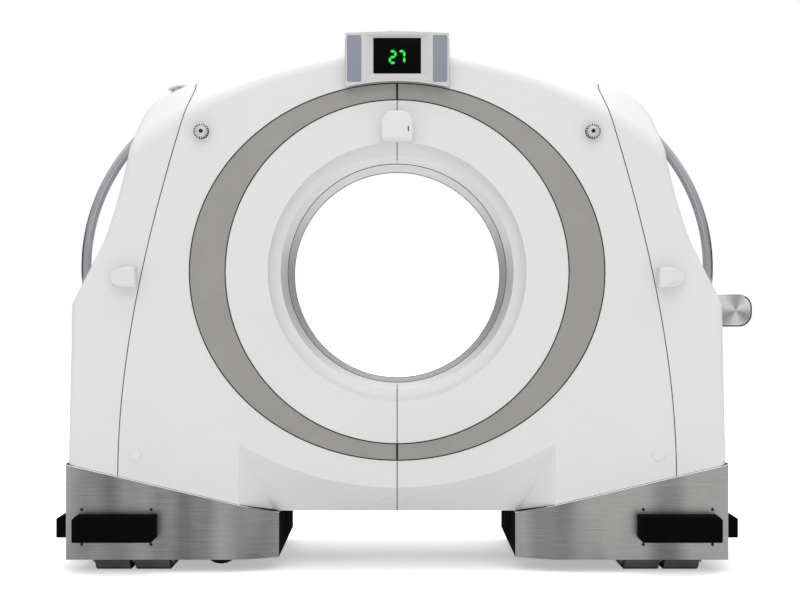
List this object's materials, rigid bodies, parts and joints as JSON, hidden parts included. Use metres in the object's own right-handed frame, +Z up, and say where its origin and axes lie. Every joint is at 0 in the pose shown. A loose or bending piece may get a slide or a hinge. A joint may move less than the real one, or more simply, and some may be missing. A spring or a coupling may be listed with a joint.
{
  "type": "mobile ct scanner",
  "caption": "Full-body mobile CT gantry: white split covers round a wide bore, textured ring band, stainless feet on belt tracks, status display and side handles.",
  "frame": {"origin": "the isocentre: on the axis of the patient bore, at mid-depth, 1120 mm above the floor", "axes": "+Z up; +Y along the bore from the display side to the rear; +X to the right of someone who faces the display side"},
  "size_m": [2.631, 0.958, 2.01],
  "materials": {
    "body_white": "smooth satin white moulded cover",
    "band_grey": "fine leather-grain grey",
    "liner_white": "smooth white",
    "stainless": "horizontal brushed grain",
    "rubber_black": "matte black",
    "screw_black": "black oxide",
    "screen_glass": "black display glass",
    "panel_grey": "satin blue-grey",
    "knob_metal": "turned face",
    "chrome_tube": "polished tube",
    "bar_metal": "satin brushed",
    "stop_red": "satin",
    "belt_rubber": "ribbed rubber",
    "roller_metal": "plain",
    "frame_paint": "powder coat",
    "wheel_black": "polyurethane",
    "caster_zinc": "zinc plate",
    "race_steel": "ground steel",
    "rotor_paint": "powder coat",
    "unit_paint": "powder coat",
    "tube_paint": "powder coat",
    "case_plastic": "moulded case"
  },
  "bodies": {
    "gantry": {"main_frame": "frame_paint", "front_cover_left": "body_white", "front_cover_right": "body_white", "rear_cover_left": "body_white", "rear_cover_right": "body_white", "side_cover_left": "body_white", "side_cover_right": "body_white", "front_shroud_left": "body_white", "front_shroud_right": "body_white", "rear_shroud": "body_white", "front_band_left": "band_grey", "front_band_right": "band_grey", "rear_band": "band_grey", "bore_liner": "liner_white", "base_cover_left": "stainless", "base_cover_right": "stainless", "front_bumpers": "rubber_black", "rear_bumpers": "rubber_black", "side_bumpers": "rubber_black", "bumper_screws": "screw_black", "display_housing": "body_white", "display_screen": "screen_glass", "display_side_panels": "panel_grey", "laser_housing_top": "body_white", "laser_housing_left": "body_white", "laser_housing_right": "body_white", "screw_caps": "body_white", "side_handles_left": "chrome_tube", "side_handles_right": "chrome_tube", "drive_bar": "bar_metal", "drive_bar_end_plates": "bar_metal", "track_belts": "belt_rubber", "track_motors": "case_plastic", "bearing_race": "race_steel", "brush_block": "case_plastic", "rotor_motor": "unit_paint", "rotor_belt": "belt_rubber", "battery_packs": "case_plastic", "control_unit": "unit_paint", "power_inlet": "case_plastic"},
    "rotor": {"rotor_ring": "rotor_paint", "slip_ring": "case_plastic", "xray_tube": "tube_paint", "detector_arc": "tube_paint", "hv_generator": "unit_paint"},
    "pulley": {"motor_pulley": "race_steel"},
    "knob_left": {"cover_knob_left": "knob_metal"},
    "knob_right": {"cover_knob_right": "knob_metal"},
    "stop_button": {"emergency_stop_button": "stop_red"},
    "shaft_front_left": {"track_shaft_front_left": "roller_metal"},
    "shaft_front_right": {"track_shaft_front_right": "roller_metal"},
    "shaft_rear_left": {"track_shaft_rear_left": "roller_metal"},
    "shaft_rear_right": {"track_shaft_rear_right": "roller_metal"},
    "lift_left": {"lift_beam_left": "frame_paint"},
    "lift_right": {"lift_beam_right": "frame_paint"},
    "fork_front": {"caster_fork_front": "caster_zinc"},
    "fork_rear": {"caster_fork_rear": "caster_zinc"},
    "wheel_front": {"caster_wheel_front": "wheel_black"},
    "wheel_rear": {"caster_wheel_rear": "wheel_black"},
    "wheel_drive": {"drive_wheel": "wheel_black"}
  },
  "joints": [
    {"name": "rotor_spin", "type": "hinge", "parent": "gantry", "child": "rotor", "pos_m": [0, 0.055, 0], "axis": [0, 1, 0], "continuous": true},
    {"name": "pulley_spin", "type": "hinge", "parent": "gantry", "child": "pulley", "pos_m": [0.617, 0.055, -0.725], "axis": [0, 1, 0], "continuous": true},
    {"name": "knob_left_turn", "type": "hinge", "parent": "gantry", "child": "knob_left", "pos_m": [-0.728, -0.411, 0.522], "axis": [0, -1, 0], "range_deg": [0, 90]},
    {"name": "knob_right_turn", "type": "hinge", "parent": "gantry", "child": "knob_right", "pos_m": [0.728, -0.411, 0.522], "axis": [0, -1, 0], "range_deg": [0, 90]},
    {"name": "stop_press", "type": "slide", "parent": "gantry", "child": "stop_button", "axis": [0, 0, -1], "range_m": [0, 0.006], "stiffness_N_per_m": 800, "springref_m": -0.006},
    {"name": "left_lift", "type": "slide", "parent": "gantry", "child": "lift_left", "axis": [0, 0, -1], "range_m": [0, 0.03]},
    {"name": "right_lift", "type": "slide", "parent": "gantry", "child": "lift_right", "axis": [0, 0, -1], "range_m": [0, 0.03]},
    {"name": "drive_roll", "type": "hinge", "parent": "lift_right", "child": "wheel_drive", "pos_m": [0.672, 0, -1.0395], "axis": [1, 0, 0], "continuous": true},
    {"name": "front_caster_swivel", "type": "hinge", "parent": "lift_left", "child": "fork_front", "pos_m": [-0.712, -0.261, -0.933], "axis": [0, 0, 1], "continuous": true},
    {"name": "front_caster_roll", "type": "hinge", "parent": "fork_front", "child": "wheel_front", "pos_m": [-0.672, -0.261, -1.0395], "axis": [0, 1, 0], "continuous": true},
    {"name": "rear_caster_swivel", "type": "hinge", "parent": "lift_left", "child": "fork_rear", "pos_m": [-0.712, 0.261, -0.933], "axis": [0, 0, 1], "continuous": true},
    {"name": "rear_caster_roll", "type": "hinge", "parent": "fork_rear", "child": "wheel_rear", "pos_m": [-0.672, 0.261, -1.0395], "axis": [0, 1, 0], "continuous": true},
    {"name": "front_left_track_roll", "type": "hinge", "parent": "gantry", "child": "shaft_front_left", "pos_m": [-0.99, -0.33, -1.0637], "axis": [1, 0, 0], "continuous": true},
    {"name": "rear_left_track_roll", "type": "hinge", "parent": "gantry", "child": "shaft_rear_left", "pos_m": [-0.99, 0.33, -1.0637], "axis": [1, 0, 0], "continuous": true},
    {"name": "front_right_track_roll", "type": "hinge", "parent": "gantry", "child": "shaft_front_right", "pos_m": [0.99, -0.33, -1.0637], "axis": [1, 0, 0], "continuous": true},
    {"name": "rear_right_track_roll", "type": "hinge", "parent": "gantry", "child": "shaft_rear_right", "pos_m": [0.99, 0.33, -1.0637], "axis": [1, 0, 0], "continuous": true}
  ],
  "couplings": [
    {"joint": "pulley_spin", "follows": "rotor_spin", "ratio": 15.8},
    {"joint": "right_lift", "follows": "left_lift", "ratio": 1},
    {"joint": "rear_left_track_roll", "follows": "front_left_track_roll", "ratio": 1},
    {"joint": "rear_right_track_roll", "follows": "front_right_track_roll", "ratio": 1}
  ]
}
